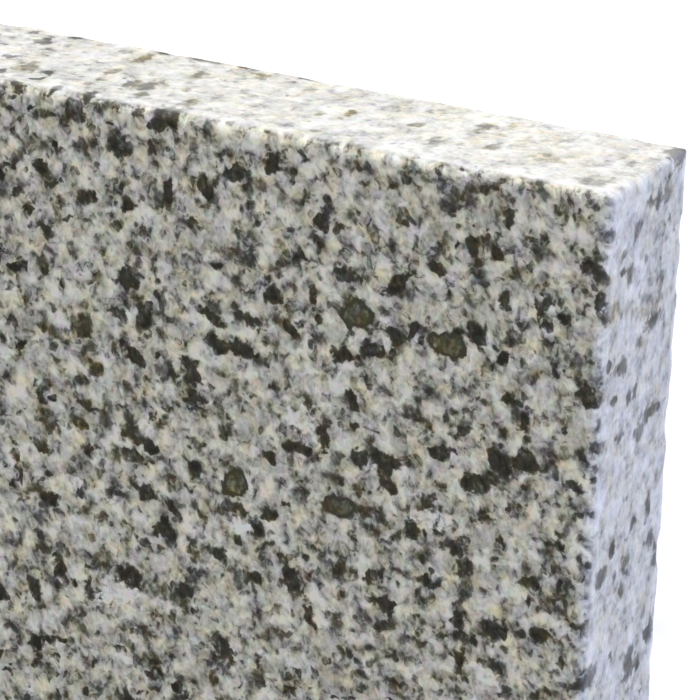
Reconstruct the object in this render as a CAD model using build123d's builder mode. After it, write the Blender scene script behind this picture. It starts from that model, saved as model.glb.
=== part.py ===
"""Square granite paving tile: one sawn slab of stone with a flat honed face.

The face meets the four sawn edges in an eased, rounded arris, and the upright corners are
eased alike. The back arris is left as the saw leaves it, with small shell-shaped chips where
the blade breaks out of the stone. The origin is the middle of the back, honed face up.
"""

import os

from build123d import *

# Driving dimensions, in millimetres
tile_length = 400.0  # edge to edge along X
tile_width = 400.0  # edge to edge along Y
tile_thickness = 30.0  # back to honed face
eased_radius = 2.0  # rounding of the face arris and of the upright corners
chip_spacing = 15.0  # mean distance between chips along the back arris
chip_corner_margin = 9.0  # stretch beside each corner without scattered chips
chip_radius = 9.0  # roundness of the shell-shaped break
chip_bite_least = 0.25  # smallest scattered chip, measured in from the arris
chip_bite_most = 0.7  # largest scattered chip, measured in from the arris

# Chips that show beside the corner at +X and +Y: distance from that corner, depth of bite
right_chips = ((13.5, 0.45), (22.3, 0.45), (34.0, 0.4), (47.0, 0.75), (55.0, 0.35), (69.5, 0.7), (89.5, 0.4))
far_chips = ((6.8, 0.4), (21.5, 0.35), (34.5, 0.3), (115.0, 0.6))

# Steps round the unit interval that scatter the other chips without a visible rhythm
place_step = 0.618034
bite_step = 0.754878
arris_step = 0.37


def scattered_chips(arris_length, arris_number):
    """List the chips of one back arris, as distance from its middle and depth of bite."""
    start = arris_number * arris_step
    chipped_length = arris_length - 2 * chip_corner_margin
    marks = []
    for chip in range(round(chipped_length / chip_spacing)):
        place = (start + chip * place_step) % 1.0
        size = (start + chip * bite_step) % 1.0
        bite = chip_bite_least + (chip_bite_most - chip_bite_least) * size
        marks.append((chipped_length * (place - 0.5), bite))
    return marks


def chip_marks(arris_length, arris_number, shown):
    """Put the chips that show in place of the scattered ones in their stretch of the arris."""
    marks = [(arris_length / 2 - distance, bite) for distance, bite in shown]
    scatter_end = min((along for along, bite in marks), default=arris_length / 2) - chip_corner_margin
    for along, bite in scattered_chips(arris_length, arris_number):
        if along < scatter_end:
            marks.append((along, bite))
    return marks


# Back arrises: middle, direction, length and the chips that show
back_arrises = (
    (Vector(tile_length / 2, 0, 0), Vector(0, 1, 0), tile_width, right_chips),
    (Vector(0, tile_width / 2, 0), Vector(1, 0, 0), tile_length, far_chips),
    (Vector(-tile_length / 2, 0, 0), Vector(0, 1, 0), tile_width, ()),
    (Vector(0, -tile_width / 2, 0), Vector(1, 0, 0), tile_length, ()),
)

with BuildPart() as granite_tile:
    # Sawn slab, standing on its back
    with BuildSketch() as outline:
        Rectangle(tile_length, tile_width)
    extrude(amount=tile_thickness)

    # Eased arris round the honed face and eased upright corners
    honed_face = granite_tile.faces().sort_by(Axis.Z)[-1]
    upright_corners = granite_tile.edges().filter_by(Axis.Z)
    fillet(honed_face.edges() + upright_corners, eased_radius)

    # Chips of the back arris: shallow ball-shaped bites, set out along its outward diagonal
    for arris_number, (middle, along_arris, arris_length, shown) in enumerate(back_arrises):
        outward = middle.normalized() - Vector(0, 0, 1)
        chip_plane = Plane(origin=middle, x_dir=along_arris, z_dir=outward)
        chip_centres = [
            (along, 0, chip_radius - bite) for along, bite in chip_marks(arris_length, arris_number, shown)
        ]
        with Locations(chip_plane):
            with Locations(*chip_centres):
                Sphere(chip_radius, rotation=(90, 0, 0), mode=Mode.SUBTRACT)

granite_tile.part.label = "granite_tile"

os.makedirs("parts", exist_ok=True)
export_step(granite_tile.part, "parts/granite_tile.step")
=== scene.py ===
"""Granite paving tile, dressed: eased and chipped edges, honed face, sawn sides, soft studio."""

from __future__ import annotations

import logging
import math
from dataclasses import dataclass, field
from enum import Enum
from typing import Any, Iterable, Union

import bmesh
import bpy
from mathutils import Matrix, Vector, noise

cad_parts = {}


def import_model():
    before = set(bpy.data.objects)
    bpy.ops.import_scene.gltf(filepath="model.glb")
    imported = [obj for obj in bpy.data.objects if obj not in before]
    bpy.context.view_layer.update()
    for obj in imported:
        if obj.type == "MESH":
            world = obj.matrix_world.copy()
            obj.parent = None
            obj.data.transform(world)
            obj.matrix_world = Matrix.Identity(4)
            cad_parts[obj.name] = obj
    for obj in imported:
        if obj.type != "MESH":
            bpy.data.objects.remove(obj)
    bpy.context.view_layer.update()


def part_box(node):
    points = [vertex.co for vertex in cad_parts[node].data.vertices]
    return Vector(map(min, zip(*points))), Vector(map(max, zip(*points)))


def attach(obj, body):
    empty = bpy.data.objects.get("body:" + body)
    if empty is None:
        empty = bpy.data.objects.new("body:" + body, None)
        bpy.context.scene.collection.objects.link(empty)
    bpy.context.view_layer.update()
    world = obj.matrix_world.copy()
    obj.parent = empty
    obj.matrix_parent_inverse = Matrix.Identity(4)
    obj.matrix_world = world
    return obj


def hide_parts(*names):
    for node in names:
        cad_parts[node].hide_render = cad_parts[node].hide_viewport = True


LOG = logging.getLogger("granite_tile")

MM = 0.001
NODE = "granite_tile"
SAWN_LAYER = "sawn"
# Sawdust on the sawn edges, with painted highlight in a paler band and strip along the arrises.
DUST_AND_HIGHLIGHT_LAYER = "dust_and_highlight"
TURN_STEP = math.pi / 8.0
UP = Vector((0.0, 0.0, 1.0))
SAME_LENGTH = 0.01 * MM
CUT_TOLERANCE = 1e-7

Colour = tuple[float, float, float]
Shift = tuple[float, float, float]
Span = tuple[float, float]
Rows = tuple[tuple[float, ...], ...]
Number = Union[float, "Wire"]


class Side(Enum):
    """The four sawn edges, each as its outward direction in the tile's plane."""

    RIGHT = (1, 0)
    FAR = (0, 1)
    LEFT = (-1, 0)
    NEAR = (0, -1)


class Tone(Enum):
    """The stone's tones from dark to light, each as its lightness and its colour."""

    BLACK_MICA = (0.163, (0.0062, 0.0052, 0.0015))
    BROWN_MICA = (0.2955, (0.0345, 0.0325, 0.0200))
    SMOKY_QUARTZ = (0.348, (0.0595, 0.0570, 0.0430))
    GREY_QUARTZ = (0.3995, (0.1235, 0.1220, 0.1050))
    CLEAR_QUARTZ = (0.430, (0.2045, 0.2026, 0.1800))
    GREY_FELDSPAR = (0.475, (0.340, 0.337, 0.305))
    PALE_FELDSPAR = (0.5165, (0.442, 0.4374, 0.398))
    WHITE_FELDSPAR = (0.575, (0.558, 0.5525, 0.506))
    BRIGHT_FELDSPAR = (0.652, (0.689, 0.6825, 0.628))


@dataclass(frozen=True)
class Layer:
    """A layer of noise: its size in millimetres, its finer detail, and how far off it is read."""

    size: float
    detail: float = 2.0
    rough: float = 0.5
    shift: Shift = (0.0, 0.0, 0.0)


@dataclass(frozen=True)
class Scatter:
    """Scattered grains of mixed sizes.

    The spacing between places for a grain is in millimetres, the share says how many of those hold
    one, and the least and the most radius and the fray of the outline are in spacings.
    """

    spacing: float
    share: float
    least: float
    most: float
    fray: float
    shift: Shift = (0.0, 0.0, 0.0)


@dataclass(eq=False)
class Wire:
    """One value in a material's node tree, with arithmetic that adds Math nodes."""

    graph: Graph
    socket: bpy.types.NodeSocket

    def _math(self, operation: str, first: Number, second: Number) -> Wire:
        """The result of one Math node on two operands."""
        settings = {"operation": operation}
        return self.graph.node("ShaderNodeMath", settings, {0: first, 1: second}).out("Value")

    def __add__(self, other: Number) -> Wire:
        """Sum."""
        return self._math("ADD", self, other)

    def __radd__(self, other: Number) -> Wire:
        """Sum with a number on the left."""
        return self._math("ADD", other, self)

    def __sub__(self, other: Number) -> Wire:
        """Difference."""
        return self._math("SUBTRACT", self, other)

    def __rsub__(self, other: Number) -> Wire:
        """Difference from a number."""
        return self._math("SUBTRACT", other, self)

    def __mul__(self, other: Number) -> Wire:
        """Product."""
        return self._math("MULTIPLY", self, other)

    def __rmul__(self, other: Number) -> Wire:
        """Product with a number on the left."""
        return self._math("MULTIPLY", other, self)

    def __lt__(self, other: Number) -> Wire:
        """One where this is the smaller, and zero elsewhere."""
        return self._math("LESS_THAN", self, other)

    def highest(self, other: Number) -> Wire:
        """The larger of the two."""
        return self._math("MAXIMUM", self, other)

    def lowest(self, other: Number) -> Wire:
        """The smaller of the two."""
        return self._math("MINIMUM", self, other)


@dataclass(eq=False)
class NodeHandle:
    """A node that has been placed, with its outputs as wires."""

    graph: Graph
    node: bpy.types.Node

    def out(self, name: str) -> Wire:
        """The output of that name or identifier."""
        for socket in self.node.outputs:
            if name in (socket.identifier, socket.name) and socket.enabled:
                return Wire(self.graph, socket)
        raise KeyError(name)


class Graph:
    """A material's node tree under construction."""

    def __init__(self, name: str) -> None:
        """Start an empty material of that name."""
        self.material = bpy.data.materials.new(name)
        self.material.use_nodes = True
        self.tree = self.material.node_tree
        self.tree.nodes.clear()

    def node(
        self,
        kind: str,
        settings: dict[str, Any] | None = None,
        sockets: dict[str | int, Any] | None = None,
    ) -> NodeHandle:
        """Place a node.

        Args:
            kind: The node's type.
            settings: Its properties, set before its sockets. The key stops takes a ramp's stops.
            sockets: Values or wires, by the input's name, identifier or index.

        Returns:
            The node.
        """
        node = self.tree.nodes.new(kind)
        for key, value in (settings or {}).items():
            if key == "stops":
                self._set_stops(node.color_ramp, value)
            else:
                setattr(node, key, value)
        for key, value in (sockets or {}).items():
            socket = self._input(node, key)
            if isinstance(value, Wire):
                self.tree.links.new(value.socket, socket)
            elif isinstance(value, tuple) and len(value) == 3 and socket.type == "RGBA":
                socket.default_value = (*value, 1.0)
            else:
                socket.default_value = value
        return NodeHandle(self, node)

    @staticmethod
    def _input(node: bpy.types.Node, key: str | int) -> bpy.types.NodeSocket:
        """The input of that index, identifier or name."""
        if isinstance(key, int):
            return node.inputs[key]
        for socket in node.inputs:
            if key in (socket.identifier, socket.name) and socket.enabled:
                return socket
        raise KeyError(key)

    @staticmethod
    def _set_stops(ramp: bpy.types.ColorRamp, stops: Iterable[tuple[float, Colour]]) -> None:
        """Give a ramp its stops, as pairs of place and colour."""
        places = list(stops)
        while len(ramp.elements) < len(places):
            ramp.elements.new(1.0)
        for element, (place, colour) in zip(ramp.elements, places):
            element.position = place
            element.color = (*colour, 1.0)

    def step(self, value: Wire, start: Number, end: Number) -> Wire:
        """A smooth step of a value.

        Args:
            value: What is stepped.
            start: Where the result is zero.
            end: Where the result is one.

        Returns:
            The step, between zero and one.
        """
        settings = {"interpolation_type": "SMOOTHSTEP"}
        sockets = {"Value": value, "From Min": start, "From Max": end}
        return self.node("ShaderNodeMapRange", settings, sockets).out("Result")

    def mix(self, share: Number, first: Wire | Colour, second: Wire | Colour, blend: str = "MIX") -> Wire:
        """Mix two colours.

        Args:
            share: How much of the second shows.
            first: The colour below.
            second: The colour on top.
            blend: The way they mix.

        Returns:
            The mixed colour.
        """
        settings = {"data_type": "RGBA", "blend_type": blend}
        sockets = {"Factor_Float": share, "A_Color": first, "B_Color": second}
        return self.node("ShaderNodeMix", settings, sockets).out("Result_Color")

    def noise(self, place: Wire, layer: Layer) -> NodeHandle:
        """Cloudy noise.

        Args:
            place: Where it is read, in millimetres.
            layer: Its size, its detail and how far off it is read.

        Returns:
            The noise node.
        """
        sockets = {
            "Vector": self.moved(place, layer.shift),
            "Scale": 1.0 / layer.size,
            "Detail": layer.detail,
            "Roughness": layer.rough,
        }
        return self.node("ShaderNodeTexNoise", {"noise_dimensions": "3D"}, sockets)

    def drift(self, place: Wire, layer: Layer) -> Wire:
        """Cloudy noise that goes to and fro about zero."""
        return self.noise(place, layer).out("Fac") - 0.5

    def cells(self, place: Wire, size: float) -> NodeHandle:
        """Packed crystals.

        Args:
            place: Where they are read, in millimetres.
            size: The width of a crystal, in millimetres.

        Returns:
            The cell node: its distance, and a colour that is random for each crystal.
        """
        settings = {"voronoi_dimensions": "3D", "feature": "F1", "distance": "EUCLIDEAN"}
        sockets = {"Vector": place, "Scale": 1.0 / size, "Randomness": 1.0}
        return self.node("ShaderNodeTexVoronoi", settings, sockets)

    def rank(self, cells: NodeHandle) -> Wire:
        """A number between zero and one that is random for each crystal."""
        return self.node("ShaderNodeSeparateColor", None, {"Color": cells.out("Color")}).out("Red")

    def vector(self, operation: str, *operands: Any, result: str = "Vector") -> Wire:
        """The result of one Vector Math node on operands, in order."""
        settings = {"operation": operation}
        return self.node("ShaderNodeVectorMath", settings, dict(enumerate(operands))).out(result)

    def moved(self, place: Wire, by: Wire | Shift) -> Wire:
        """A place moved by a vector."""
        return place if isinstance(by, tuple) and not any(by) else self.vector("ADD", place, by)


def smooth_step(value: float, start: float, end: float) -> float:
    """A smooth step of a value, from zero at the start to one at the end."""
    share = min(1.0, max(0.0, (value - start) / (end - start)))
    return share * share * (3.0 - 2.0 * share)


@dataclass(frozen=True)
class Crystal:
    """One crystal that stands out in the stone, placed from the edges of the shown corner.

    Its distances, half length, half width and drop below the face are in millimetres. Its turn
    is in eighths of a half turn, clockwise from +X as seen from above.
    """

    from_right: float
    from_far: float
    length: float
    width: float
    turn: int = 0
    drop: float = 0.0

    @classmethod
    def in_far(cls, from_right: float, drop: float, length: float, height: float) -> Crystal:
        """A crystal in the far edge: half its length along X, and half its height."""
        return cls(from_right, 0.0, length, height, 0, drop)

    @classmethod
    def in_right(cls, from_far: float, drop: float, length: float, height: float) -> Crystal:
        """A crystal in the right edge: half its length along Y, and half its height."""
        return cls(0.0, from_far, length, height, 4, drop)


@dataclass(frozen=True)
class Mineral:
    """A kind of crystal that is placed one by one: its look, and where it shows.

    Its warmth and greenness are added to the stone's. Its softness and raggedness are those of its
    outline, and its rim is the width of a dark one, as a share of half the crystal. Its rows are
    read off the photograph and hold what Crystal, its in_far and its in_right take.
    """

    lightness: float
    warmth: float = 0.0
    greenness: float = 0.0
    softness: float = 1.0
    raggedness: float = 1.0
    rim: float = 0.0
    face: Rows = ()
    far: Rows = ()
    right: Rows = ()

    def crystals(self) -> list[Crystal]:
        """All its crystals: in the face, in the far edge and in the right edge."""
        kinds = ((Crystal, self.face), (Crystal.in_far, self.far), (Crystal.in_right, self.right))
        return [make(*row) for make, rows in kinds for row in rows]


@dataclass(frozen=True)
class Finish:
    """A value that differs between the honed face and the sawn edges."""

    honed: float
    sawn: float

    def at(self, sawn: Wire) -> Wire:
        """The value where the stone is sawn that far."""
        return self.honed + sawn * (self.sawn - self.honed)


OLIVE_MICA = Mineral(
    lightness=0.365,
    warmth=0.13,
    greenness=0.08,
    face=(
        (27.0, 30.3, 2.6, 1.5), (43.6, 28.0, 2.5, 1.8), (44.7, 61.9, 2.2, 1.5), (64.2, 61.7, 2.0, 1.7),
    ),
    softness=0.6,
    raggedness=0.5,
    rim=0.42,
)
DUSTY_MICA = Mineral(
    lightness=0.36,
    warmth=0.24,
    greenness=0.03,
    far=(
        (26.8, 13.0, 1.3, 2.0), (32.0, 22.0, 1.2, 3.0), (82.8, 13.3, 1.4, 1.4), (84.3, 20.5, 1.1, 2.3),
        (110.3, 9.3, 2.0, 2.9), (5.0, 5.8, 2.6, 2.6), (35.3, 10.0, 1.7, 1.9), (53.8, 16.8, 1.0, 1.5),
        (58.0, 13.0, 1.1, 1.8), (42.0, 16.5, 1.1, 1.8), (75.3, 27.0, 1.5, 1.8), (89.5, 11.0, 2.8, 2.4),
        (87.5, 6.5, 1.0, 1.4), (78.5, 6.5, 1.2, 2.0), (97.5, 15.5, 1.0, 2.4), (96.5, 24.5, 1.0, 2.4),
    ),
    right=((20.8, 2.6, 1.7, 2.6),),
)
RUSTY_MICA = Mineral(
    lightness=0.335,
    warmth=0.27,
    face=(
        (93.3, 56.7, 1.6, 1.0), (92.5, 53.3, 1.3, 0.8), (93.6, 40.0, 2.3, 2.2), (90.6, 46.7, 1.5, 1.5),
    ),
)
RUST_STAIN = Mineral(
    lightness=0.44,
    warmth=0.1,
    far=((17.5, 12.8, 2.3, 2.4), (65.3, 25.5, 1.6, 3.6), (28.5, 25.5, 1.0, 1.8)),
    softness=1.3,
)
BEIGE_STAIN = Mineral(
    lightness=0.503,
    warmth=-0.05,
    far=((23.0, 21.5, 8.0, 6.5), (39.5, 22.5, 5.0, 5.0)),
    softness=2.2,
)
GREY_STAIN = Mineral(
    lightness=0.415,
    face=((77.8, 83.6, 2.2, 1.6),),
    right=((23.6, 17.5, 2.0, 6.0), (21.2, 4.0, 2.0, 3.6)),
    softness=1.3,
)
SMOKY_QUARTZ = Mineral(
    lightness=0.335,
    face=(
        (63.1, 21.9, 2.2, 1.6, 1), (96.7, 3.1, 3.0, 2.3), (64.2, 65.8, 2.5, 1.4),
        (82.8, 57.2, 3.0, 2.0, 2), (83.3, 60.3, 1.8, 1.4), (15.6, 26.7, 2.3, 1.5),
        (32.8, 42.8, 2.0, 1.5), (38.3, 61.9, 2.8, 1.3), (92.8, 49.2, 1.5, 1.1), (28.3, 6.7, 1.9, 1.1),
        (28.9, 57.5, 1.9, 1.2, 3), (21.7, 67.8, 1.9, 1.8),
    ),
    far=(
        # Drops near 29.5 mm: dashes at the back arris, partly dark crystals, partly painted shade.
        (4.8, 17.5, 1.0, 1.6), (88.0, 29.6, 2.8, 0.6), (94.8, 29.4, 1.6, 0.6), (68.0, 29.6, 1.8, 0.5),
        (80.5, 29.7, 1.6, 0.5),
    ),
    right=(
        (11.2, 6.0, 0.9, 1.0), (8.7, 11.2, 1.0, 1.3), (15.6, 9.2, 2.2, 1.7), (20.0, 22.8, 1.2, 1.8),
        (43.5, 9.5, 0.9, 1.8), (5.5, 16.0, 1.2, 1.8), (6.0, 23.0, 2.0, 1.8), (28.7, 14.8, 1.0, 1.3),
        (15.0, 15.3, 0.9, 0.7), (45.3, 17.5, 1.7, 2.0), (42.8, 23.5, 1.1, 2.0), (67.2, 15.0, 1.6, 1.6),
        (72.0, 14.5, 1.3, 1.3), (88.0, 23.5, 1.5, 1.2), (7.0, 0.9, 1.1, 1.1),
    ),
)
BLACK_MICA = Mineral(
    lightness=0.26,
    face=(
        (2.5, 12.5, 2.5, 1.3), (0.8, 18.0, 3.0, 1.0, 4), (10.6, 20.0, 2.2, 1.6, 4),
        (6.9, 22.0, 1.1, 1.0), (9.7, 23.6, 1.2, 1.2), (17.5, 6.7, 2.4, 1.0, 4),
        (21.7, 3.0, 1.8, 0.9, 7), (19.4, 13.0, 1.8, 1.0, 4), (23.9, 12.5, 2.0, 0.9, 3),
        (29.6, 17.7, 1.5, 1.0), (17.5, 20.8, 1.5, 1.1, 4), (21.9, 28.0, 2.4, 1.1, 3),
        (17.0, 30.5, 1.3, 1.0, 4), (33.5, 28.6, 1.7, 0.9, 4), (36.4, 30.2, 1.7, 1.2),
        (37.0, 21.7, 3.4, 1.1, 6), (46.4, 21.5, 2.2, 1.6), (51.6, 26.0, 1.5, 0.8, 4),
        (45.8, 35.2, 2.0, 1.4), (40.5, 33.6, 2.4, 1.2), (43.6, 43.0, 2.0, 1.0, 3),
        (13.1, 41.0, 1.5, 0.9, 4), (15.5, 37.5, 2.0, 0.8), (2.0, 34.5, 2.6, 1.5, 3),
        (12.2, 47.3, 2.4, 2.0, 4), (17.2, 48.0, 3.2, 1.5, 2), (50.3, 13.3, 2.0, 1.5, 4),
        (27.2, 48.6, 2.0, 1.3), (88.1, 7.8, 2.3, 2.0, 4), (80.0, 2.2, 2.8, 1.1, 7),
        (60.1, 5.3, 2.2, 1.5, 4), (66.7, 8.3, 2.0, 1.2, 7), (71.7, 11.4, 3.2, 0.9, 3),
        (78.3, 13.3, 2.4, 0.8, 4), (85.6, 17.7, 1.4, 1.2), (93.1, 17.2, 1.6, 1.1, 7),
        (102.1, 13.3, 1.7, 1.2), (74.2, 17.8, 1.9, 1.3, 4), (101.0, 24.5, 1.9, 1.0, 1),
        (85.0, 29.8, 2.2, 1.8), (81.9, 35.3, 2.3, 1.5, 4), (69.4, 33.6, 2.6, 1.1, 1),
        (68.3, 38.0, 2.3, 1.2, 2), (62.5, 32.8, 2.5, 1.3, 1), (63.9, 37.6, 2.0, 1.7, 2),
        (58.8, 27.8, 1.5, 1.4), (55.0, 32.8, 1.6, 0.8, 2), (86.9, 36.4, 1.8, 1.2, 2),
        (83.3, 43.3, 2.3, 1.0, 2), (72.2, 43.9, 3.0, 1.8, 2), (72.2, 48.3, 1.8, 1.5),
        (41.7, 52.5, 1.8, 1.2, 3), (36.4, 52.5, 2.5, 2.0), (48.6, 50.8, 2.3, 1.3, 4),
        (52.2, 53.0, 2.8, 1.1), (3.1, 49.7, 1.7, 1.0, 1), (21.1, 53.0, 2.0, 1.8),
        (35.8, 56.4, 2.3, 1.3, 1), (31.7, 63.3, 2.0, 1.4), (23.0, 63.6, 1.9, 1.1, 6),
        (29.2, 71.4, 1.4, 1.3), (38.9, 73.0, 1.5, 1.3), (53.3, 76.4, 2.4, 1.2, 3),
        (35.6, 77.2, 1.8, 1.5), (22.8, 77.2, 2.3, 1.1, 4), (16.1, 77.5, 2.4, 2.0),
        (7.5, 76.4, 2.0, 1.4), (22.2, 82.8, 2.0, 1.5, 4), (49.2, 82.5, 2.6, 1.0, 3),
        (10.6, 67.8, 1.8, 1.4), (80.3, 58.6, 1.3, 1.2), (58.0, 55.6, 1.5, 1.1),
        (71.7, 60.6, 1.8, 1.2, 3), (58.0, 66.0, 1.5, 1.2), (59.9, 68.1, 2.0, 1.1, 2),
        (75.0, 68.9, 2.3, 0.9, 2), (80.8, 66.7, 1.8, 1.5), (76.9, 72.8, 1.9, 1.8),
        (66.4, 74.7, 1.4, 1.3), (98.2, 71.7, 2.0, 1.3), (59.4, 77.5, 1.8, 1.2),
        (82.8, 82.5, 2.5, 1.7, 2), (90.8, 85.8, 1.9, 1.2, 4), (96.4, 83.9, 2.0, 1.0, 4),
        (101.0, 88.3, 2.0, 1.3, 3), (72.2, 82.2, 2.0, 1.2), (64.2, 92.2, 2.3, 2.3),
        (100.3, 62.8, 1.8, 1.3),
    ),
    far=(
        # Row at 0.4 mm from the right: broken back corner, partly a dark grain, partly painted shade.
        (79.5, 1.0, 2.3, 2.0), (0.4, 27.4, 2.1, 2.9), (91.8, 10.5, 0.9, 2.4), (88.8, 12.0, 0.9, 2.0),
        (94.3, 1.2, 0.8, 1.9), (100.8, 1.6, 0.8, 2.1),
    ),
    right=(
        (42.8, 1.0, 1.2, 1.8), (14.5, 6.5, 0.6, 1.3), (30.8, 8.2, 1.5, 2.5), (29.3, 2.7, 1.0, 0.8),
        (36.0, 5.8, 0.7, 1.6), (37.5, 12.3, 1.0, 0.9), (36.7, 14.6, 1.4, 1.1), (6.0, 19.5, 2.1, 1.3),
        (26.9, 20.0, 1.3, 2.8), (43.0, 20.5, 1.2, 1.2), (66.5, 5.0, 1.7, 2.0), (63.0, 8.8, 1.8, 1.3),
        (83.0, 2.5, 1.8, 2.8), (68.0, 11.0, 0.8, 0.8), (61.2, 17.2, 1.2, 1.3), (60.5, 23.5, 1.8, 1.0),
        (86.5, 20.0, 3.2, 2.2), (66.2, 25.0, 1.3, 1.8), (70.5, 28.5, 1.6, 1.3), (84.0, 27.5, 2.2, 2.2),
    ),
)
WHITE_FELDSPAR = Mineral(
    lightness=0.63,
    warmth=-0.05,
    face=(
        (28.9, 60.3, 3.0, 1.6), (52.5, 48.0, 2.5, 2.1), (85.0, 86.0, 3.5, 2.5), (62.8, 69.2, 2.5, 1.2),
        (93.6, 67.8, 1.3, 1.0),
    ),
)


@dataclass(frozen=True)
class Granite:
    """Medium-grained grey granite: pale feldspar, grey quartz and dark mica, honed or sawn."""

    # Pale sawdust colour, also painted as highlight along the arrises.
    sawdust_and_highlight_colour: Colour = (0.80, 0.80, 0.79)
    streak_angle: float = math.radians(68.0)
    streak_length: float = 2.5
    shown_length: float = 106.0 * MM
    shown_width: float = 97.0 * MM
    shown_depth: float = 8.0 * MM
    shown_fade: float = 4.0 * MM

    # The ground: clouds and packed crystals, combed along the streaks
    warp: Layer = Layer(3.1, 1.0)
    warp_reach: float = 0.6
    comb: Layer = Layer(1.1, 0.6, 0.4)
    comb_reach: float = 1.3
    base_light: float = 0.501
    contrast: Finish = Finish(1.0, 0.38)
    cloud: Layer = Layer(2.9, 1.8, 0.6)
    cloud_share: float = 0.7
    crystal_size: float = 2.2
    crystal_share: float = 0.08
    grain_size: float = 1.2
    grain_shift: Shift = (9.0, 2.0, 33.0)
    grain_share: float = 0.1
    film: Layer = Layer(3.0, 2.0, 0.55, (11.0, 57.0, 3.0))
    film_span: Span = (0.58, 0.63)
    film_share: float = 0.1
    fine: Layer = Layer(0.55, 2.0, 0.5, (7.0, 3.0, 1.0))
    speck: Layer = Layer(0.8, 1.0, 0.5, (3.0, 29.0, 17.0))
    fine_share: Finish = Finish(0.14, 0.07)

    # Scattered grains: dark flakes with darker cores, fine specks and calm eyes
    fray: Layer = Layer(2.0, 2.0, 0.5, (31.0, 7.0, 3.0))
    grain_blur: Finish = Finish(0.09, 0.22)
    flakes: Scatter = Scatter(3.2, 0.5, 0.0, 0.52, 1.7)
    flakes_left_out: float = 0.33
    flake_share: float = 0.16
    flake_contrast: Finish = Finish(1.0, 0.8)
    core_share: float = 0.1
    core_depth: float = 0.45
    specks: Scatter = Scatter(1.75, 0.28, 0.1, 0.5, 1.3, (19.0, 5.0, 11.0))
    speck_share: Finish = Finish(0.1, 0.05)
    eyes: Scatter = Scatter(6.5, 0.35, 0.15, 0.45, 1.0, (61.0, 17.0, 23.0))
    eye_calm: float = 0.6

    # Placed crystals, from the lowest to the topmost: their outlines and the mottle inside
    placed: tuple[Mineral, ...] = (
        BEIGE_STAIN, GREY_STAIN, RUST_STAIN, DUSTY_MICA, OLIVE_MICA, RUSTY_MICA, SMOKY_QUARTZ,
        BLACK_MICA, WHITE_FELDSPAR,
    )
    placed_comb: float = 0.8
    outline_at: float = 0.93
    outline_blur: Finish = Finish(0.33, 0.55)
    outline_fray: float = 1.8
    outline_cloud: float = 1.2
    outline_speck: float = 1.2
    outline_grain: float = 0.3
    blotch: Layer = Layer(1.7, 1.0, 0.5, (13.0, 41.0, 7.0))
    mottle_blotch: float = 0.3
    mottle_ground: float = 0.4
    mottle_fine: float = 1.8
    rim_lightness: float = 0.29
    edge_warmth: Finish = Finish(0.0, 0.12)

    # Stains and tints, stronger in the murk of dark crystals
    stain_warp: Layer = Layer(1.5, 1.0)
    stain_reach: float = 0.5
    murk_span: Span = (0.28, 0.47)
    stain: Layer = Layer(3.2, 2.5, 0.55, (43.0, 13.0, 5.0))
    stain_pale: float = 0.66
    stain_murk: float = 1.6
    stain_share: Finish = Finish(1.0, 0.85)
    rust: Layer = Layer(3.6, 3.0, 0.6, (5.0, 71.0, 29.0))
    rust_span: Span = (0.58, 0.72)
    rust_share: float = 0.05
    moss: Layer = Layer(1.6, 2.0, 0.5, (3.0, 47.0, 9.0))
    moss_pale: float = 0.3
    moss_murk: float = 0.7
    tint_green: float = 0.987
    tint_blue: Finish = Finish(0.915, 0.975)
    warm_lift: float = 0.1
    warm_red: float = 0.5
    warm_blue: float = 1.05
    green_red: float = 0.7
    green_lift: float = 0.73

    # Sawdust and painted arris highlight, which hold less on dark crystals, and the relief of the surface
    patch: Layer = Layer(7.0, 3.0, 0.6)
    patch_span: Span = (0.34, 0.68)
    dust_even: float = 0.4
    dust_patchy: float = 1.3
    dust_on_dark: Finish = Finish(0.15, 0.66)
    dark_span: Span = (0.26, 0.44)
    roughness: Finish = Finish(0.46, 0.80)
    shine: float = 0.35
    grit: Layer = Layer(0.7, 3.0, 0.6)
    grit_share: float = 0.6
    wave: Layer = Layer(2.6)
    relief: Finish = Finish(0.08, 0.98)
    relief_depth: float = 0.25 * MM
    relief_strength: float = 0.6

    def material(self, corner: Vector) -> bpy.types.Material:
        """Build the stone as one solid pattern through the tile.

        Args:
            corner: The corner of the face that the placed crystals are measured from.

        Returns:
            The material.
        """
        graph = Graph("granite_stone")
        place = self._place(graph, 1.0)
        sawn = graph.node("ShaderNodeAttribute", {"attribute_name": SAWN_LAYER}).out("Fac")
        # Sawdust, and painted highlight where the arris rounding catches the light.
        dust_and_highlight = graph.node("ShaderNodeAttribute", {"attribute_name": DUST_AND_HIGHLIGHT_LAYER}).out("Fac")
        light, warm, green = self._lightness(graph, place, sawn, corner)
        stone = self._tinted(graph, place, light, sawn, warm, green)
        patchy = graph.step(graph.noise(place, self.patch).out("Fac"), *self.patch_span)
        on_dark = self.dust_on_dark.at(sawn)
        held = on_dark + graph.step(light, *self.dark_span) * (1.0 - on_dark)
        dust_and_highlight_cover = dust_and_highlight * (self.dust_even + patchy * self.dust_patchy) * held
        grit = graph.noise(place, self.grit).out("Fac")
        wave = graph.noise(place, self.wave).out("Fac")
        relief = {
            "Height": (grit * self.grit_share + wave) * self.relief.at(sawn),
            "Distance": self.relief_depth,
            "Strength": self.relief_strength,
        }
        surface = {
            "Base Color": graph.mix(dust_and_highlight_cover, stone, self.sawdust_and_highlight_colour),
            "Roughness": self.roughness.at(sawn),
            "Normal": graph.node("ShaderNodeBump", None, relief).out("Normal"),
            "Specular IOR Level": self.shine,
        }
        shader = graph.node("ShaderNodeBsdfPrincipled", None, surface).out("BSDF")
        graph.node("ShaderNodeOutputMaterial", None, {"Surface": shader})
        return graph.material

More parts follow.
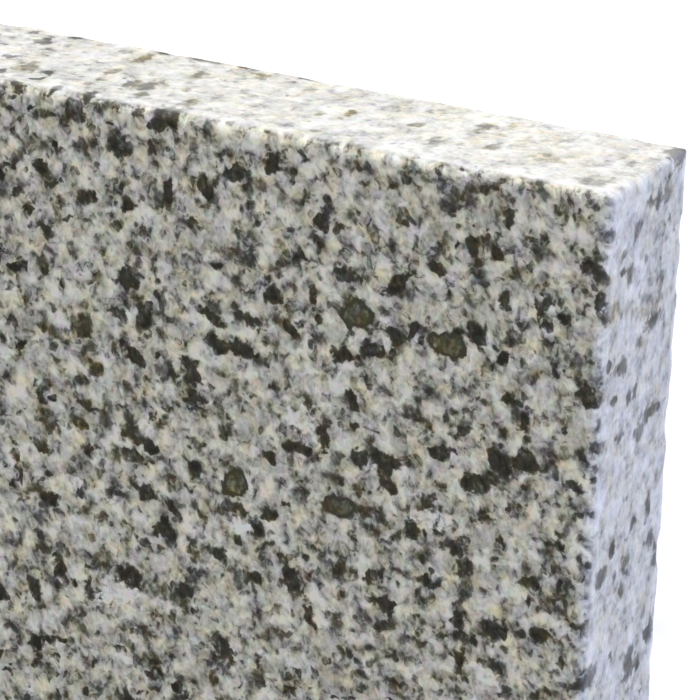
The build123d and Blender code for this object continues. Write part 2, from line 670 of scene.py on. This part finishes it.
    def _place(self, graph: Graph, length: float) -> Wire:
        """The place in the stone, in millimetres, turned so that X runs along its streaks.

        Args:
            graph: The material under construction.
            length: How far what is read there is drawn out along the streaks.

        Returns:
            The place as a vector.
        """
        place = graph.node("ShaderNodeTexCoord").out("Object")
        turn = {"Vector": place, "Rotation": (0.0, 0.0, self.streak_angle)}
        turned = graph.node("ShaderNodeMapping", {"vector_type": "POINT"}, turn).out("Vector")
        draw = {"Vector": turned, "Scale": (1.0 / (length * MM), 1.0 / MM, 1.0 / MM)}
        return graph.node("ShaderNodeMapping", {"vector_type": "POINT"}, draw).out("Vector")

    def _lightness(
        self, graph: Graph, place: Wire, sawn: Wire, corner: Vector
    ) -> tuple[Wire, Wire, Wire]:
        """Grow the crystals: how light each spot of the stone is.

        Args:
            graph: The material under construction.
            place: The place in the stone.
            sawn: How far the spot is sawn rather than honed.
            corner: The corner of the face that the placed crystals are measured from.

        Returns:
            The lightness, and how warm and how green the placed crystals are.
        """
        streak = self._place(graph, self.streak_length)
        loose = self._ragged(graph, place, self.warp, self.warp_reach)
        comb = graph.drift(streak, self.comb)
        combed = self._combed(graph, loose, comb * self.comb_reach)
        cloud = graph.drift(combed, self.cloud)
        speck = graph.drift(loose, self.speck)
        fray = graph.drift(combed, self.fray)
        fine = (graph.drift(streak, self.fine) + speck) * self.fine_share.at(sawn)
        crystal = graph.rank(graph.cells(combed, self.crystal_size)) - 0.5
        grain = graph.rank(graph.cells(graph.moved(combed, self.grain_shift), self.grain_size)) - 0.5
        film = graph.step(graph.noise(combed, self.film).out("Fac"), *self.film_span)
        blur = self.grain_blur.at(sawn)
        left_out = self._shown(graph, corner) * self.flakes_left_out
        flakes, cores = self._grains(graph, combed, fray, blur, self.flakes, left_out)
        specks, _ = self._grains(graph, combed, fray, blur, self.specks)
        eyes, _ = self._grains(graph, combed, fray, blur, self.eyes)
        pale = cloud * self.cloud_share + crystal * self.crystal_share + grain * self.grain_share
        pale = (pale - film * self.film_share) * self.contrast.at(sawn)
        dark = (flakes * self.flake_share + cores * self.core_share) * self.flake_contrast.at(sawn)
        dark = dark + specks * self.speck_share.at(sawn)
        light = self.base_light + pale * (1.0 - eyes * self.eye_calm) + fine - dark
        compact = self._combed(graph, loose, comb * self.placed_comb)
        ragged = fray * self.outline_fray - cloud * self.outline_cloud
        ragged = ragged + speck * self.outline_speck + grain * self.outline_grain
        mottle = graph.drift(loose, self.blotch) * self.mottle_blotch
        mottle = mottle + pale * self.mottle_ground + fine * self.mottle_fine
        blur, warmth = self.outline_blur.at(sawn), self.edge_warmth.at(sawn)
        warm, green = 0.0, 0.0
        for mineral in self.placed:
            inside = self._nearest(graph, compact, mineral.crystals(), corner)
            inside = inside + ragged * mineral.raggedness
            soft = blur * mineral.softness
            share = graph.step(inside, soft * -1.0, soft)
            if mineral.rim:
                around = graph.step(inside + mineral.rim, soft * -1.0, soft)
                light = light + (self.rim_lightness - light) * around
            light = light + (mineral.lightness + mottle * mineral.raggedness - light) * share
            warm = warm + share * (warmth + mineral.warmth)
            green = green + share * mineral.greenness
        return light, warm, green

    def _shown(self, graph: Graph, corner: Vector) -> Wire:
        """Where the stone holds placed crystals.

        Args:
            graph: The material under construction.
            corner: The corner of the face that they are measured from.

        Returns:
            One there, and zero elsewhere.
        """
        place = graph.node("ShaderNodeTexCoord").out("Object")
        axes = graph.node("ShaderNodeSeparateXYZ", None, {"Vector": place})
        depth, fade = self.shown_depth, self.shown_fade
        end, side = corner.x - self.shown_length, corner.y - self.shown_width
        along = graph.step(axes.out("X"), end, end + fade)
        across = graph.step(axes.out("Y"), side, side + fade)
        skin = graph.step(axes.out("Z"), corner.z - depth, corner.z - fade)
        for axis, reach in (("X", corner.x), ("Y", corner.y)):
            skin = skin.highest(graph.step(axes.out(axis), reach - depth, reach - fade))
        return along * across * skin

    def _nearest(self, graph: Graph, place: Wire, crystals: list[Crystal], corner: Vector) -> Wire:
        """Set crystals into the stone.

        Args:
            graph: The material under construction.
            place: The place in the stone.
            crystals: The crystals.
            corner: The corner of the face that they are measured from.

        Returns:
            Most in the middle of a crystal, zero on its outline and less outside.
        """
        nearest: Wire | None = None
        for eighth in sorted({crystal.turn for crystal in crystals}):
            turn = TURN_STEP * eighth
            about = {"rotation_type": "Z_AXIS"}
            spin = {"Vector": place, "Angle": turn - self.streak_angle}
            turned = graph.node("ShaderNodeVectorRotate", about, spin).out("Vector")
            for crystal in (crystal for crystal in crystals if crystal.turn == eighth):
                centre = corner / MM - Vector((crystal.from_right, crystal.from_far, crystal.drop))
                centre.rotate(Matrix.Rotation(turn, 3, "Z"))
                scale = Vector((1.0 / crystal.length, 1.0 / crystal.width, 1.0 / crystal.width))
                offset = graph.vector("MULTIPLY_ADD", turned, scale, -centre * scale)
                away = graph.vector("LENGTH", offset, result="Value")
                nearest = away if nearest is None else nearest.lowest(away)
        return self.outline_at - nearest

    def _tinted(
        self, graph: Graph, place: Wire, light: Wire, sawn: Wire, warm: Wire, green: Wire
    ) -> Wire:
        """Colour the stone by its lightness, with faint stains that are yellow or blue.

        Args:
            graph: The material under construction.
            place: The place in the stone.
            light: The lightness.
            sawn: How far the spot is sawn rather than honed.
            warm: How warm the placed crystals are.
            green: How green the placed crystals are.

        Returns:
            The colour.
        """
        stops = tuple(tone.value for tone in Tone)
        tones = graph.node("ShaderNodeValToRGB", {"stops": stops}, {"Fac": light}).out("Color")
        ragged = self._ragged(graph, place, self.stain_warp, self.stain_reach)
        murk = 1.0 - graph.step(light, *self.murk_span)
        stain = graph.drift(ragged, self.stain) * (self.stain_pale + murk * self.stain_murk)
        rust = graph.step(graph.noise(ragged, self.rust).out("Fac"), *self.rust_span)
        warm = warm + (stain + rust * self.rust_share) * self.stain_share.at(sawn)
        green = green + graph.drift(ragged, self.moss) * (self.moss_pale + murk * self.moss_murk)
        lift = warm * self.warm_lift
        tint = {
            "Red": 1.0 + lift + warm.highest(0.0) * self.warm_red - green * self.green_red,
            "Green": self.tint_green + lift + green * self.green_lift,
            "Blue": self.tint_blue.at(sawn) - warm * self.warm_blue,
        }
        tinted = graph.node("ShaderNodeCombineColor", None, tint).out("Color")
        return graph.mix(1.0, tones, tinted, "MULTIPLY")

    def _grains(
        self, graph: Graph, place: Wire, fray: Wire, blur: Wire, scatter: Scatter, left_out: Number = 0.0
    ) -> tuple[Wire, Wire]:
        """Scatter ragged grains of mixed sizes.

        Args:
            graph: The material under construction.
            place: The place in the stone.
            fray: Noise that frays their outlines.
            blur: How soft their outlines are.
            scatter: Their spacing, share, sizes and fray.
            left_out: How many of their places, which hold the largest grains, stay empty.

        Returns:
            Where the grains are, and where their cores are.
        """
        cells = graph.cells(graph.moved(place, scatter.shift), scatter.spacing)
        rank = graph.rank(cells)
        radius = scatter.most - rank * ((scatter.most - scatter.least) / scatter.share)
        inside = radius + fray * scatter.fray - cells.out("Distance")
        inside = inside + ((rank < scatter.share) - 1.0) - (rank < left_out)
        return graph.step(inside, blur * -1.0, blur), graph.step(inside, 0.0, self.core_depth)

    @staticmethod
    def _combed(graph: Graph, place: Wire, reach: Wire) -> Wire:
        """Places that are drawn to and fro along the streaks."""
        return graph.moved(place, graph.node("ShaderNodeCombineXYZ", None, {"X": reach}).out("Vector"))

    @staticmethod
    def _ragged(graph: Graph, place: Wire, layer: Layer, reach: float) -> Wire:
        """Places that noise shifts by up to a reach, so that what is read there gets ragged outlines."""
        centred = graph.vector("SUBTRACT", graph.noise(place, layer).out("Color"), (0.5, 0.5, 0.5))
        return graph.moved(place, graph.vector("MULTIPLY", centred, (2.0 * reach,) * 3))


@dataclass
class TileBody:
    """The sawn slab: flat face, eased face arris, sawn edges and a chipped back arris.

    Rows of chips hold the distance from the shown corner and the depth of bite, and rows of nick
    waves the wave's length, its share and its row in the noise. Those and the rings are in
    millimetres. The spans of the finish and of the painted highlight down the arris are in arris radii.
    """

    low: Vector
    high: Vector
    arris_radius: float = 2.0 * MM
    arris_segments: int = 6
    back_corner_radius: float = 0.5 * MM
    least_radius: float = 0.2 * MM
    rim: float = 6.0 * MM
    step: float = 0.8 * MM
    middle_segments: int = 12
    middle_gap: float = 9.0 * MM
    rings: tuple[float, ...] = (0.15, 0.35, 0.6, 0.95, 1.4, 2.0, 2.8, 4.0)
    side_row: float = 3.0 * MM
    chip_spacing: float = 15.0 * MM
    chip_margin: float = 9.0 * MM
    chip_radius: float = 9.0 * MM
    chip_least: float = 0.25 * MM
    chip_most: float = 0.7 * MM
    chip_height: float = 3.0 * MM
    chip_grain: float = 1.3 * MM
    chip_roughness: float = 0.12 * MM
    right_chips: Rows = (
        (13.5, 0.45), (22.3, 0.45), (34.0, 0.4), (47.0, 0.75), (55.0, 0.35), (69.5, 0.7), (89.5, 0.4)
    )
    far_chips: Rows = ((6.8, 0.4), (21.5, 0.35), (34.5, 0.3), (115.0, 0.6))
    arris_step: float = 0.37
    place_step: float = 0.618034
    bite_step: float = 0.754878
    worn_reach: float = 5.0 * MM
    nick_depth: float = 0.22 * MM
    nick_reach: float = 0.7 * MM
    nick_bias: float = 0.25
    nick_waves: Rows = ((6.0, 1.0, 1.7), (2.2, 0.6, 5.1))
    side_seed: tuple[float, float] = (17.0, 23.0)
    dent_depth: float = 0.16 * MM
    dent_size: float = 2.4 * MM
    dent_bias: float = 0.3
    dent_inset: float = 0.6 * MM
    dent_reach: float = 1.2 * MM
    saw_depth: float = 0.05 * MM
    saw_wave: float = 7.0 * MM
    saw_top: float = 1.0 * MM
    saw_margin: float = 0.5 * MM
    sawn_span: Span = (0.3, 0.85)
    # Band below: paler band down the arris, partly sawdust, partly painted highlight.
    band_rise: Span = (0.4, 1.0)
    band_fall: Span = (1.0, 2.4)
    drift_span: Span = (30.0 * MM, 80.0 * MM)
    break_span: Span = (0.3 * MM, 2.0 * MM)
    # Strip below: paler strip along the right arris, partly worn-in sawdust, partly painted highlight.
    rub_and_highlight_span: Span = (0.0, 4.0 * MM)
    dust_share: float = 0.16
    band_dust_and_highlight: float = 0.1
    dust_drift: float = 0.06
    dust_break: float = 0.2
    rub_dust_and_highlight: float = 0.13
    sharp_angle: float = math.radians(38.0)
    half: Vector = field(init=False)

    def __post_init__(self) -> None:
        """Keep half the slab's size."""
        self.half = (self.high - self.low) / 2.0

    def build(self, stone: bpy.types.Material) -> bpy.types.Object:
        """Model the slab and dress it.

        Args:
            stone: Its material.

        Returns:
            The finished piece.
        """
        shape = bmesh.new()
        self._saw(shape)
        self._cut_rows(shape)
        self._open_middle(shape)
        self._cut_columns(shape)
        self._close_middle(shape)
        bmesh.ops.recalc_face_normals(shape, faces=shape.faces)
        self._mark_finish(shape)
        self._wear(shape)
        for face in shape.faces:
            face.smooth = True
        mesh = bpy.data.meshes.new("granite_slab")
        shape.to_mesh(mesh)
        shape.free()
        mesh.set_sharp_from_angle(angle=self.sharp_angle)
        mesh.materials.append(stone)
        piece = bpy.data.objects.new("granite_slab", mesh)
        bpy.context.scene.collection.objects.link(piece)
        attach(piece, "root")
        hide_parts(NODE)
        return piece

    def _saw(self, shape: bmesh.types.BMesh) -> None:
        """Start from the sawn block and round its face arris."""
        size = self.high - self.low
        centre = (self.high + self.low) / 2.0
        bmesh.ops.create_cube(shape, size=1.0, matrix=Matrix.LocRotScale(centre, None, size))
        top = [edge for edge in shape.edges if self._lies_at(edge, 2, self.high.z)]
        bmesh.ops.bevel(
            shape,
            geom=top,
            offset=self.arris_radius,
            offset_type="OFFSET",
            segments=self.arris_segments,
            profile=0.5,
            affect="EDGES",
            material=-1,
        )

    @staticmethod
    def _lies_at(edge: bmesh.types.BMEdge, axis: int, reach: float) -> bool:
        """Whether an edge lies that far from the middle along an axis, on either side."""
        return all(abs(abs(vert.co[axis]) - reach) < SAME_LENGTH for vert in edge.verts)

    @staticmethod
    def _cut(shape: bmesh.types.BMesh, point: Vector, normal: Vector) -> None:
        """Cut the whole shape along a plane."""
        parts = [*shape.verts, *shape.edges, *shape.faces]
        bmesh.ops.bisect_plane(shape, geom=parts, dist=CUT_TOLERANCE, plane_co=point, plane_no=normal)

    def _cut_rows(self, shape: bmesh.types.BMesh) -> None:
        """Cut rows into the edges, closer together towards the back arris."""
        rings = [ring * MM for ring in self.rings]
        heights = list(rings)
        while heights[-1] + self.side_row < self.high.z - self.arris_radius:
            heights.append(heights[-1] + self.side_row)
        for height in heights:
            self._cut(shape, UP * height, UP)
        for ring in (*rings, self.rim):
            for side in Side:
                outward = Vector((*side.value, 0))
                reach = abs(outward.dot(self.half)) - ring
                self._cut(shape, outward * reach, outward)

    def _in_middle(self, point: Vector) -> bool:
        """Whether a point lies inside the rim, seen from above."""
        return abs(point.x) < self.half.x - self.rim and abs(point.y) < self.half.y - self.rim

    def _open_middle(self, shape: bmesh.types.BMesh) -> None:
        """Take the middle of the face and of the back out, so that only the rim is cut fine."""
        middle = [face for face in shape.faces if self._in_middle(face.calc_center_median())]
        bmesh.ops.delete(shape, geom=middle, context="FACES")

    def _cut_columns(self, shape: bmesh.types.BMesh) -> None:
        """Divide the long runs of the rim."""
        for axis in (0, 1):
            reach = self.half[axis] - self.rim
            runs = [
                edge
                for edge in shape.edges
                if self._lies_at(edge, axis, reach) and edge.calc_length() > reach
            ]
            cuts = round(2.0 * reach / self.step) - 1
            bmesh.ops.subdivide_edges(shape, edges=runs, cuts=cuts, use_grid_fill=True)

    def _close_middle(self, shape: bmesh.types.BMesh) -> None:
        """Put the middle of the face and of the back in again, as a coarse grid that looks outward."""
        inner = self.half - Vector((1, 1, 1)) * (self.rim + self.middle_gap)
        for level, facing in ((self.low.z, -1.0), (self.high.z, 1.0)):
            rim = [edge for edge in shape.edges if edge.is_boundary and self._lies_at(edge, 2, level)]
            size = Vector((inner.x, facing * inner.y, 1.0))
            made = bmesh.ops.create_grid(
                shape,
                x_segments=self.middle_segments,
                y_segments=self.middle_segments,
                size=1.0,
                matrix=Matrix.LocRotScale(UP * level, None, size),
            )
            edges = {edge for vert in made["verts"] for edge in vert.link_edges if edge.is_boundary}
            bmesh.ops.bridge_loops(shape, edges=[*rim, *edges])

    def _mark_finish(self, shape: bmesh.types.BMesh) -> None:
        """Write how far each spot is sawn rather than honed, and its sawdust and painted highlight."""
        sawn = shape.verts.layers.float.new(SAWN_LAYER)
        dust_and_highlight = shape.verts.layers.float.new(DUST_AND_HIGHLIGHT_LAYER)
        for vert in shape.verts:
            drop = (self.high.z - vert.co.z) / self.arris_radius
            from_right = self.half.x - vert.co.x
            vert[sawn] = smooth_step(drop, *self.sawn_span)
            # Paler band down the arris: partly sawdust, partly painted highlight of the lit rounding.
            band = smooth_step(drop, *self.band_rise) * (1.0 - smooth_step(drop, *self.band_fall))
            cling_and_highlight = self.dust_share + self.band_dust_and_highlight * band
            if vert.co.y > self.half.y - self.arris_radius:
                cling_and_highlight += self.dust_drift * (1.0 - smooth_step(from_right, *self.drift_span))
            else:
                inset = min(self.half.x - abs(vert.co.x), self.half.y - abs(vert.co.y))
                broken = 1.0 - smooth_step(max(vert.co.z, inset), *self.break_span)
                cling_and_highlight += self.dust_break * broken
            # Paler strip along the right arris: partly worn-in sawdust, partly painted highlight of the
            # lit rounding.
            rubbed_and_lit = 1.0 - smooth_step(from_right, *self.rub_and_highlight_span)
            vert[dust_and_highlight] = vert[sawn] * cling_and_highlight + (1.0 - vert[sawn]) * self.rub_dust_and_highlight * rubbed_and_lit

    def _chips(self, side: Side) -> list[tuple[float, float]]:
        """Set out the chips of one back arris: those that show, and scattered ones elsewhere.

        Args:
            side: The edge.

        Returns:
            Pairs of distance from the arris's middle and depth of bite.
        """
        start = list(Side).index(side) * self.arris_step
        length = 2.0 * (self.half.y if side.value[0] else self.half.x)
        shown = {Side.RIGHT: self.right_chips, Side.FAR: self.far_chips}.get(side, ())
        marks = [(length / 2.0 - distance * MM, bite * MM) for distance, bite in shown]
        scatter_end = min((place for place, _ in marks), default=length / 2.0) - self.chip_margin
        run = length - 2.0 * self.chip_margin
        for chip in range(round(run / self.chip_spacing)):
            place = run * ((start + chip * self.place_step) % 1.0 - 0.5)
            size = (start + chip * self.bite_step) % 1.0
            if place < scatter_end:
                marks.append((place, self.chip_least + (self.chip_most - self.chip_least) * size))
        return marks

    def _wear(self, shape: bmesh.types.BMesh) -> None:
        """Round the upright corners, break chips out of the back arris and nick the arrises."""
        chips = {side: self._chips(side) for side in Side}
        for vert in shape.verts:
            if self._in_middle(vert.co):
                continue
            vert.co = self._round_corner(vert.co)
            for side in Side:
                outward = Vector((*side.value, 0))
                inset = abs(outward.dot(self.half)) - outward.dot(vert.co)
                if inset > self.worn_reach:
                    continue
                along = Vector((abs(outward.y), abs(outward.x), 0))
                vert.co = self._chip(vert.co, outward, along, chips[side])
                vert.co += self._nick(vert.co, outward, along)

    def _round_corner(self, point: Vector) -> Vector:
        """Ease the upright corner at a point.

        Args:
            point: A point on the slab.

        Returns:
            The point, drawn in where it lies on an upright corner.
        """
        rise = max(0.0, self.arris_radius - (self.high.z - point.z))
        lost = self.arris_radius - math.sqrt(max(0.0, self.arris_radius**2 - rise**2))
        height = min(1.0, max(0.0, point.z / (self.high.z - self.arris_radius)))
        full = self.back_corner_radius + (self.arris_radius - self.back_corner_radius) * height
        radius = max(self.least_radius, full - lost)
        centre = [self.half[axis] - lost - radius for axis in (0, 1)]
        past = Vector((abs(point.x) - centre[0], abs(point.y) - centre[1]))
        if min(past) <= 0.0:
            return point
        scale = max(past) / past.length
        eased = [math.copysign(centre[axis] + past[axis] * scale, point[axis]) for axis in (0, 1)]
        return Vector((*eased, point.z))

    def _chip(
        self, point: Vector, outward: Vector, along: Vector, chips: list[tuple[float, float]]
    ) -> Vector:
        """Break chips out at a point of the back arris.

        Args:
            point: A point on the slab.
            outward: The edge's outward direction.
            along: The direction along the edge.
            chips: The edge's chips.

        Returns:
            The point, pushed in where a chip is missing.
        """
        if point.z > self.chip_height:
            return point
        diagonal = (outward - UP).normalized()
        arris = outward * abs(outward.dot(self.half))
        place = along.dot(point)
        rough = self.chip_roughness * noise.noise(point / self.chip_grain)
        for middle, bite in chips:
            if abs(place - middle) > self.chip_radius:
                continue
            centre = arris + along * middle + diagonal * (self.chip_radius - bite)
            away = point - centre
            reach = self.chip_radius + rough
            if 0.0 < away.length < reach:
                point = centre + away.normalized() * reach
        return point

    def _nick(self, point: Vector, outward: Vector, along: Vector) -> Vector:
        """Small unevenness of an edge and its arrises.

        Args:
            point: A point on the slab.
            outward: The edge's outward direction.
            along: The direction along the edge.

        Returns:
            How far the point is worn in.
        """
        inset = abs(outward.dot(self.half)) - outward.dot(point)
        place = along.dot(point)
        drop = self.high.z - point.z
        seed = outward * Vector((*self.side_seed, 0.0))
        wave = self.nick_bias
        for length, share, row in self.nick_waves:
            wave += share * noise.noise(seed + Vector((place / (length * MM), row, 0.0)))
        back = math.exp(-(max(inset, 0.0) + point.z) / self.nick_reach)
        nick = self.nick_depth * max(0.0, wave) * back
        away = (inset - self.dent_inset) ** 2 + (drop - self.dent_inset) ** 2
        front = math.exp(-away / self.dent_reach**2)
        dent = noise.noise(seed + point / self.dent_size) + self.dent_bias
        dent = self.dent_depth * max(0.0, dent) * front
        saw = 0.0
        if drop > self.saw_top and inset < self.saw_margin < point.z:
            saw = self.saw_depth * (noise.noise(point / self.saw_wave) + 1.0)
        return (UP - outward).normalized() * nick - (outward + UP).normalized() * dent - outward * saw


@dataclass(frozen=True)
class Panel:
    """One soft light: where it hangs, its width and height, its power in watts and its tint."""

    name: str
    place: tuple[float, float, float]
    size: tuple[float, float]
    power: float
    colour: Colour = (1.0, 1.0, 1.0)

    def hang(self) -> None:
        """Hang the light, turned to the tile."""
        light = bpy.data.lights.new(self.name, "AREA")
        light.shape = "RECTANGLE"
        light.size, light.size_y = self.size
        light.energy = self.power
        light.color = self.colour
        panel = bpy.data.objects.new(self.name, light)
        panel.location = self.place
        panel.rotation_euler = (-Vector(self.place)).to_track_quat("-Z", "Y").to_euler()
        panel.visible_camera = False
        bpy.context.scene.collection.objects.link(panel)


@dataclass
class Studio:
    """The white floor, the soft lights and the camera."""

    panels: tuple[Panel, ...] = (
        Panel("far_panel", (0.1, 2.2, 0.55), (2.4, 0.9), 45.7),
        Panel("right_panel", (2.2, 0.1, 0.5), (2.4, 0.8), 23.6, (0.30, 0.44, 1.0)),
    )
    place: Vector = field(default_factory=lambda: Vector((0.52324, 0.47394, 0.82547)))
    picture_right: Vector = field(default_factory=lambda: Vector((0.8998, 0.0464, -0.4338)))
    picture_down: Vector = field(default_factory=lambda: Vector((0.1837, -0.9422, 0.2803)))
    lens: float = 294.08
    sensor: float = 36.0
    nearest: float = 0.05
    floor_half: float = 6.0
    floor_segments: int = 4
    floor_colour: Colour = (0.92, 0.92, 0.92)
    floor_roughness: float = 0.9
    floor_glow: float = 0.42
    sky_strength: float = 0.55
    white: Colour = (1.0, 1.0, 1.0)

    def build(self) -> None:
        """Set up everything round the tile."""
        self._floor()
        self._sky()
        for panel in self.panels:
            panel.hang()
        self._camera()
        bpy.context.scene.view_settings.view_transform = "Standard"

    def _floor(self) -> None:
        """Lay the pale floor."""
        shape = bmesh.new()
        segments = self.floor_segments
        bmesh.ops.create_grid(shape, x_segments=segments, y_segments=segments, size=self.floor_half)
        mesh = bpy.data.meshes.new("floor")
        shape.to_mesh(mesh)
        shape.free()
        graph = Graph("floor_paint")
        finish = {
            "Base Color": self.floor_colour,
            "Roughness": self.floor_roughness,
            "Emission Color": self.white,
            "Emission Strength": self.floor_glow,
        }
        paint = graph.node("ShaderNodeBsdfPrincipled", None, finish).out("BSDF")
        graph.node("ShaderNodeOutputMaterial", None, {"Surface": paint})
        mesh.materials.append(graph.material)
        floor = bpy.data.objects.new("floor", mesh)
        bpy.context.scene.collection.objects.link(floor)

    def _sky(self) -> None:
        """Fill the room with even light."""
        world = bpy.data.worlds.new("studio")
        world.use_nodes = True
        background = world.node_tree.nodes["Background"]
        background.inputs["Color"].default_value = (*self.white, 1.0)
        background.inputs["Strength"].default_value = self.sky_strength
        bpy.context.scene.world = world

    def _camera(self) -> None:
        """Stand the camera where the photograph was taken from."""
        lens = bpy.data.cameras.new("camera")
        lens.lens = self.lens
        lens.sensor_width = self.sensor
        lens.clip_start = self.nearest
        camera = bpy.data.objects.new("camera", lens)
        right = self.picture_right.normalized()
        up = -(self.picture_down - right * right.dot(self.picture_down)).normalized()
        turn = Matrix((right, up, right.cross(up))).transposed()
        camera.matrix_world = Matrix.LocRotScale(self.place, turn.to_quaternion(), None)
        bpy.context.scene.collection.objects.link(camera)
        bpy.context.scene.camera = camera


def main() -> None:
    """Build the tile and its studio."""
    logging.basicConfig(level=logging.INFO, format="%(message)s")
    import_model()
    low, high = (Vector(corner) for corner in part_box(NODE))
    piece = TileBody(low, high).build(Granite().material(high))
    LOG.info("%s: %d faces", piece.name, len(piece.data.polygons))
    Studio().build()
    bpy.context.view_layer.update()


if __name__ == "__main__":
    main()
